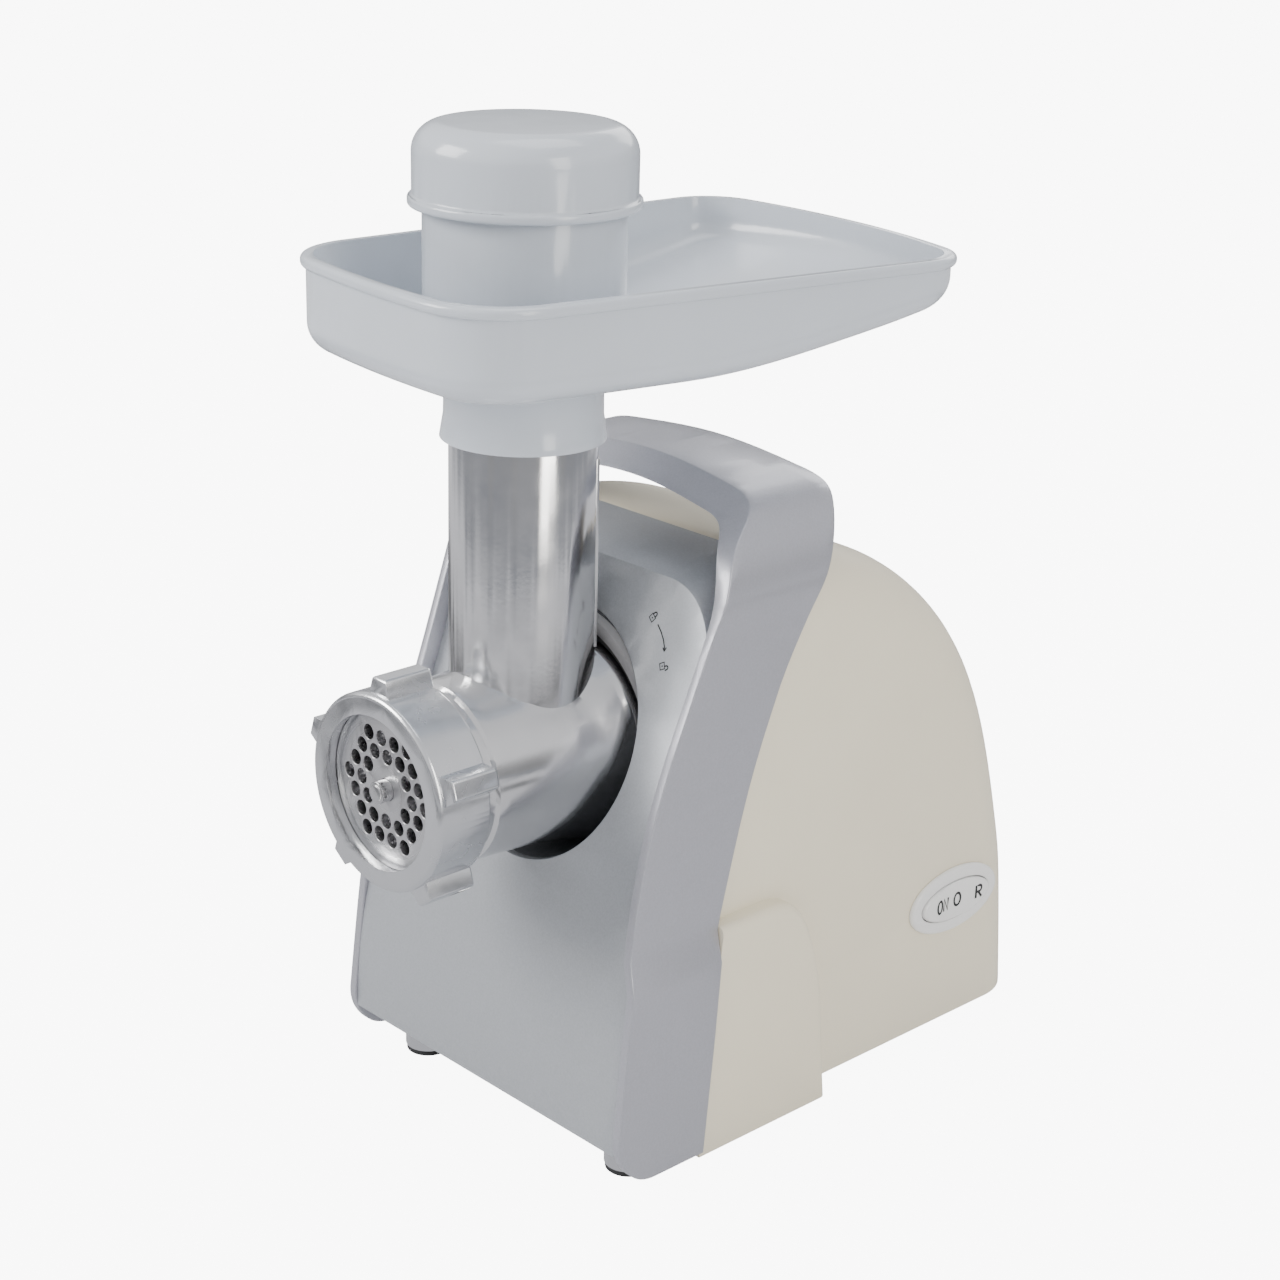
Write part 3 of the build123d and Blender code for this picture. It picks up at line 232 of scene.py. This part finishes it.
def softened(name, like, width, angle=32, segments=3):
    """The CAD shape with its edges rounded over, as the moulded or cast piece has them."""
    cad = frame["nodes"][like]
    work = bmesh.new()
    work.from_mesh(cad.data)
    bmesh.ops.remove_doubles(work, verts=work.verts, dist=2e-6)
    bmesh.ops.dissolve_limit(work, angle_limit=math.radians(0.3), verts=work.verts, edges=work.edges)
    mesh = bpy.data.meshes.new(name)
    work.to_mesh(mesh)
    work.free()
    mesh.shade_smooth()
    piece = placed(name, mesh, like)
    bevel = piece.modifiers.new("rounded", "BEVEL")
    bevel.width = width * MM
    bevel.segments = segments
    bevel.limit_method = "ANGLE"
    bevel.angle_limit = math.radians(angle)
    bevel.harden_normals = True
    bevel.use_clamp_overlap = True
    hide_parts(like)
    return piece


def off_centre_ring(name, outer, inner, y0, y1, like, slot, steps=144):
    """A ring about the Y direction whose hole lies below its outer circle; each is (radius, height)."""
    work = bmesh.new()
    rings = []
    for k in range(steps):
        turn = 2 * math.pi * k / steps
        spots = []
        for (radius, height), y in ((outer, y1), (outer, y0 + 0.3), ((outer[0] - 0.3, outer[1]), y0),
                                    ((inner[0] + 0.3, inner[1]), y0), (inner, y0 + 0.3), (inner, y1)):
            spots.append(work.verts.new((AXIS.x + radius * math.cos(turn) * MM, AXIS.y + y * MM,
                                         height + radius * math.sin(turn) * MM)))
        rings.append(spots)
    for k in range(steps):
        here, ahead = rings[k], rings[(k + 1) % steps]
        for j in range(len(here)):
            after = (j + 1) % len(here)
            work.faces.new((here[j], ahead[j], ahead[after], here[after]))
    bmesh.ops.recalc_face_normals(work, faces=work.faces)
    mesh = bpy.data.meshes.new(name)
    work.to_mesh(mesh)
    work.free()
    mesh.shade_smooth()
    mesh.set_sharp_from_angle(angle=math.radians(60))
    return placed(name, mesh, like, slot)


def coil(name, like, radius, wire, turns, steps=40, round_steps=10):
    """Compression spring along Y in place of its CAD tube."""
    low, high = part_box(like)
    middle = (low + high) / 2
    start, length = low.y + wire * MM, high.y - low.y - 2 * wire * MM
    work = bmesh.new()
    rings = []
    for k in range(turns * steps + 1):
        turn = 2 * math.pi * k / steps
        outward = Vector((math.cos(turn), 0, math.sin(turn)))
        spot = Vector((middle.x, start + length * k / (turns * steps), middle.z)) + outward * radius * MM
        ring = []
        for j in range(round_steps):
            a = 2 * math.pi * j / round_steps
            aside = outward * math.cos(a) + Vector(Y_AXIS) * math.sin(a)
            ring.append(work.verts.new(spot + aside * wire * MM))
        rings.append(ring)
    for here, ahead in zip(rings, rings[1:]):
        for j in range(round_steps):
            after = (j + 1) % round_steps
            work.faces.new((here[j], ahead[j], ahead[after], here[after]))
    work.faces.new(rings[0])
    work.faces.new(reversed(rings[-1]))
    bmesh.ops.recalc_face_normals(work, faces=work.faces)
    mesh = bpy.data.meshes.new(name)
    work.to_mesh(mesh)
    work.free()
    mesh.shade_smooth()
    piece = placed(name, mesh, like)
    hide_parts(like)
    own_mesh(piece)
    return piece


def marked(name, lines, width, onto, start, across, upward, slot):
    """Printed strokes laid on a CAD face: lines are in millimetres, in a plane, and drop along its normal."""
    cad = frame["nodes"][onto]
    tree = BVHTree.FromPolygons([v.co for v in cad.data.vertices], [p.vertices for p in cad.data.polygons])
    inward = Vector(upward).cross(Vector(across)).normalized()
    work = bmesh.new()
    for line in lines:
        shut = line[0] == line[-1]
        flat = [Vector(p) for p in (line[:-1] if shut else line)]
        count = len(flat)
        sides = []
        for k, point in enumerate(flat):
            before = flat[k - 1] if k or shut else point
            after = flat[(k + 1) % count] if k < count - 1 or shut else point
            run = (after - before).normalized()
            aside = Vector((-run.y, run.x)) * width / 2
            pair = []
            for spot in (point - aside, point + aside):
                ahead = start + (Vector(across) * spot.x + Vector(upward) * spot.y) * MM
                hit = tree.ray_cast(ahead - inward * 20 * MM, inward)[0]
                pair.append(work.verts.new((hit or ahead) - inward * MARK_RISE * MM))
            sides.append(pair)
        for k in range(count if shut else count - 1):
            here, ahead = sides[k], sides[(k + 1) % count]
            work.faces.new((here[0], here[1], ahead[1], ahead[0]))
    mesh = bpy.data.meshes.new(name)
    work.to_mesh(mesh)
    work.free()
    return placed(name, mesh, onto, slot)


def arc(x, y, rx, ry, start, end, steps=20):
    turns = [math.radians(start + (end - start) * k / steps) for k in range(steps + 1)]
    points = [(x + rx * math.cos(t), y + ry * math.sin(t)) for t in turns]
    return points[:-1] + [points[0]] if abs(end - start) == 360 else points


def turned_about(lines, angle):
    c, s = math.cos(math.radians(angle)), math.sin(math.radians(angle))
    return [[(x * c - y * s, x * s + y * c) for x, y in line] for line in lines]


def padlock(shift):
    """A small padlock: body with rounded corners, and a shackle moved sideways by shift when it is open."""
    body = [(-1.0, -1.3), (1.0, -1.3), (1.0, 0.6), (-1.0, 0.6), (-1.0, -1.3)]
    shackle = [(-0.6 + shift, 0.6), *arc(shift, 1.2, 0.6, 0.8, 180, 0, 10), (0.6 + shift, 0.6)]
    return [body, shackle, [(0, -0.6), (0, -0.1)]]


SOFT = {                        # rounding of each shown node, in millimetres
    "ring_nut": 0.9, "grinder_plate": 0.25, "auger_pin": 0.4, "knife": 0.2, "head_casting": 0.7,
    "feed_tray": 0.9, "pusher": 0.7, "pusher_cap": 0.8, "handle_frame": 1.3, "front_housing": 0.7,
    "rear_housing": 0.8, "base_plate": 0.5, "socket_collar": 0.6, "switch_bezel": 0.9, "rocker": 0.6,
    "lock_button": 0.5, "front_feet": 0.6, "rear_feet": 0.6, "foot_pads": 0.3, "cord_gland": 0.6,
}
for like, width in SOFT.items():
    softened("soft_" + like, like, width)

socket_low, socket_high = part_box("socket_collar")
OPENING_Z = (socket_low.z + socket_high.z) / 2
off_centre_ring("socket_lip", (40.6, OPENING_Z), (38.3, OPENING_Z - 2.2 * MM), 75.0, 78.8, "socket_collar",
                "base_plastic")
off_centre_ring("socket_step", (38.2, OPENING_Z - 2.1 * MM), (37.0, OPENING_Z - 3.4 * MM), 76.4, 79.0,
                "socket_collar", "rubber")

coil("lock_spring_coil", "lock_spring", 4.4, 0.6, 5)

LETTER_W, LETTER_H = 1.5, 2.4    # half width and half height of the marks on the rocker
ROCKER_STROKE, SIGN_STROKE = 0.95, 0.45


def rocker_marks():
    """ON at the front end of the rocker, O in the middle and R at the rear end, in millimetres along it."""
    w, h = LETTER_W, LETTER_H
    ring = arc(0, 0, 1.7, h, 0, 360)
    letter_n = [(-w, -h), (-w, h), (w, -h), (w, h)]
    letter_r = [(-w, -h), (-w, h), *arc(0.1, h / 2, 1.3, h / 2, 90, -90, 10), (-w, 0.0)]
    narrow = 0.8
    strokes = [[(narrow * x - 9.6, y) for x, y in ring], [(narrow * x - 6.0, y) for x, y in letter_n],
               [(x + 0.6, y) for x, y in ring], [(x + 11.6, y) for x, y in letter_r],
               [(11.2, 0.0), (13.2, -h)]]
    low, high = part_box("rocker")
    face = Vector((high.x, (low.y + high.y) / 2, (low.z + high.z) / 2))
    marked("rocker_marks", strokes, ROCKER_STROKE, "rocker", face, Y_AXIS, Z_AXIS, "rubber")


def lock_signs():
    """Locked and open padlocks with an arrow between them; each has its place and its tilt in degrees."""
    shaft = [(0.6, -0.6), (2.6, -2.2), (4.5, -4.2), (5.8, -6.2), (6.2, -7.4)]
    barbs = [(5.3, -6.6), (6.2, -7.6), (6.7, -6.2)]
    for name, place, drawing, tilt in (("sign_locked", (33.1, 81.2, 183.8), padlock(0.0), -38),
                                       ("sign_open", (42.7, 76.8, 171.1), padlock(0.9), -62),
                                       ("sign_arrow", (35.3, 80.9, 182.8), [shaft, barbs], 0)):
        marked(name, turned_about(drawing, tilt), SIGN_STROKE, "front_housing", at(*place),
               X_AXIS, Z_AXIS, "rubber")


rocker_marks()
lock_signs()


# ------------------------------------------------------------------ studio
def area_light(name, place, toward, size, power, colour=(1, 1, 1)):
    data = bpy.data.lights.new(name, "AREA")
    data.shape = "RECTANGLE"
    data.size, data.size_y = size
    data.energy = power
    data.color = colour
    lamp = bpy.data.objects.new(name, data)
    bpy.context.scene.collection.objects.link(lamp)
    lamp.location = place
    lamp.rotation_euler = (Vector(toward) - Vector(place)).to_track_quat("-Z", "Y").to_euler()
    return lamp


def floor_finish():
    """A pale sweep that looks white to the camera; to glossy rays it shows a painted reflection, darker and
    lighter rings round its middle, which the metal mirrors.
    """
    mat, tree, shader = blank("floor")
    where = tree.nodes.new("ShaderNodeTexCoord").outputs["Object"]
    shader.inputs["Base Color"].default_value = (0.86, 0.86, 0.87, 1)
    tree.links.new(ranged(tree, noise(tree, where, 2, 3.0), 0.5, 0.6), shader.inputs["Roughness"])
    reach = node(tree, "ShaderNodeVectorMath", i0=where)
    reach.operation = "LENGTH"
    painted_reflection_bands = node(tree, "ShaderNodeValToRGB", Fac=ranged(tree, reach.outputs[1], 0, 1, 0.0, 2.0))
    ramp = painted_reflection_bands.color_ramp
    ramp.elements[0].position, ramp.elements[0].color = 0.0, (0.62, 0.63, 0.66, 1)
    ramp.elements[1].position, ramp.elements[1].color = 1.0, (0.30, 0.31, 0.34, 1)
    # painted reflection: dark and light rings by distance from the floor's middle, for the metal to mirror
    for spot, level in ((0.16, 0.75), (0.22, 0.8), (0.27, 0.2), (0.34, 0.16), (0.40, 0.75), (0.62, 0.9)):
        step = ramp.elements.new(spot)
        step.color = (level, level, level * 1.04, 1)
    path = tree.nodes.new("ShaderNodeLightPath").outputs
    # painted reflection: the rings are emitted only to glossy rays; the camera sees the floor white
    painted_reflection = node(tree, "ShaderNodeEmission", Color=painted_reflection_bands.outputs[0], Strength=1.0)
    seen = node(tree, "ShaderNodeEmission", Color=(1.0, 1.0, 1.0, 1), Strength=11.0)
    lifted = node(tree, "ShaderNodeMixShader", i0=0.8, i1=shader.outputs[0], i2=seen.outputs[0])
    plain = node(tree, "ShaderNodeMixShader", i0=path["Is Camera Ray"], i1=shader.outputs[0],
                 i2=lifted.outputs[0])
    mixed = node(tree, "ShaderNodeMixShader", i0=path["Is Glossy Ray"], i1=plain.outputs[0],
                 i2=painted_reflection.outputs[0])
    tree.links.new(mixed.outputs[0], tree.nodes["Material Output"].inputs[0])
    return mat


def sky():
    """White to the camera; a soft room with a brighter upper part for everything else."""
    world = bpy.data.worlds.new("studio")
    bpy.context.scene.world = world
    world.use_nodes = True
    tree = world.node_tree
    room = tree.nodes["Background"]
    where = tree.nodes.new("ShaderNodeTexCoord").outputs["Generated"]
    height = node(tree, "ShaderNodeSeparateXYZ", Vector=where).outputs[2]
    tone = node(tree, "ShaderNodeValToRGB", Fac=ranged(tree, height, 0, 1, -0.1, 1.0))
    ramp = tone.color_ramp
    ramp.elements[0].position, ramp.elements[0].color = 0.0, (0.55, 0.56, 0.58, 1)
    ramp.elements[1].position, ramp.elements[1].color = 1.0, (0.70, 0.71, 0.74, 1)
    for spot, level in ((0.12, 0.30), (0.22, 0.42), (0.34, 0.98), (0.6, 0.95)):
        step = ramp.elements.new(spot)
        step.color = (level, level, level * 1.02, 1)
    tree.links.new(tone.outputs[0], room.inputs[0])
    room.inputs[1].default_value = 0.95
    white = node(tree, "ShaderNodeBackground", Color=(1, 1, 1, 1), Strength=9.0)
    path = tree.nodes.new("ShaderNodeLightPath").outputs
    mixed = node(tree, "ShaderNodeMixShader", i0=path["Is Camera Ray"], i1=room.outputs[0],
                 i2=white.outputs[0])
    tree.links.new(mixed.outputs[0], tree.nodes["World Output"].inputs[0])


def studio():
    mesh = bpy.data.meshes.new("floor")
    half = 9.0
    corners = [(-half, -half, 0), (half, -half, 0), (half, half, 0), (-half, half, 0)]
    mesh.from_pydata(corners, [], [(0, 1, 2, 3)])
    floor = bpy.data.objects.new("floor", mesh)
    bpy.context.scene.collection.objects.link(floor)
    floor.data.materials.append(floor_finish())
    sky()
    middle = (0, 0, 0.17)
    area_light("key", (-1.0, -1.3, 1.1), middle, (0.9, 0.9), 34, (1.0, 0.985, 0.96))
    area_light("right", (1.6, -0.2, 0.7), middle, (0.5, 1.2), 13, (1.0, 0.97, 0.91))
    area_light("top", (0.0, 0.2, 1.7), middle, (1.0, 1.0), 9)
    area_light("back", (-0.6, 1.4, 0.9), middle, (1.0, 0.6), 5)


CAMERA_OFFSET = Vector((0.5680, -0.4355, 0.3103))   # from the middle of the plate's outer face
AZIMUTH, ELEVATION, ROLL = math.radians(46.3), math.radians(19.98), math.radians(1.46)
LENS, SENSOR = 70.16, 36.0


def camera():
    back = Vector((math.sin(AZIMUTH) * math.cos(ELEVATION), -math.cos(AZIMUTH) * math.cos(ELEVATION),
                   math.sin(ELEVATION)))
    right = (-back).cross(Vector(Z_AXIS)).normalized()
    up = right.cross(-back)
    across = right * math.cos(ROLL) + up * math.sin(ROLL)
    upright = up * math.cos(ROLL) - right * math.sin(ROLL)
    data = bpy.data.cameras.new("camera")
    data.lens, data.sensor_width = LENS, SENSOR
    view = bpy.data.objects.new("camera", data)
    bpy.context.scene.collection.objects.link(view)
    view.matrix_world = Matrix.Translation(AXIS + CAMERA_OFFSET) @ Matrix(
        (across, upright, back)).transposed().to_4x4()
    bpy.context.scene.camera = view


studio()
camera()
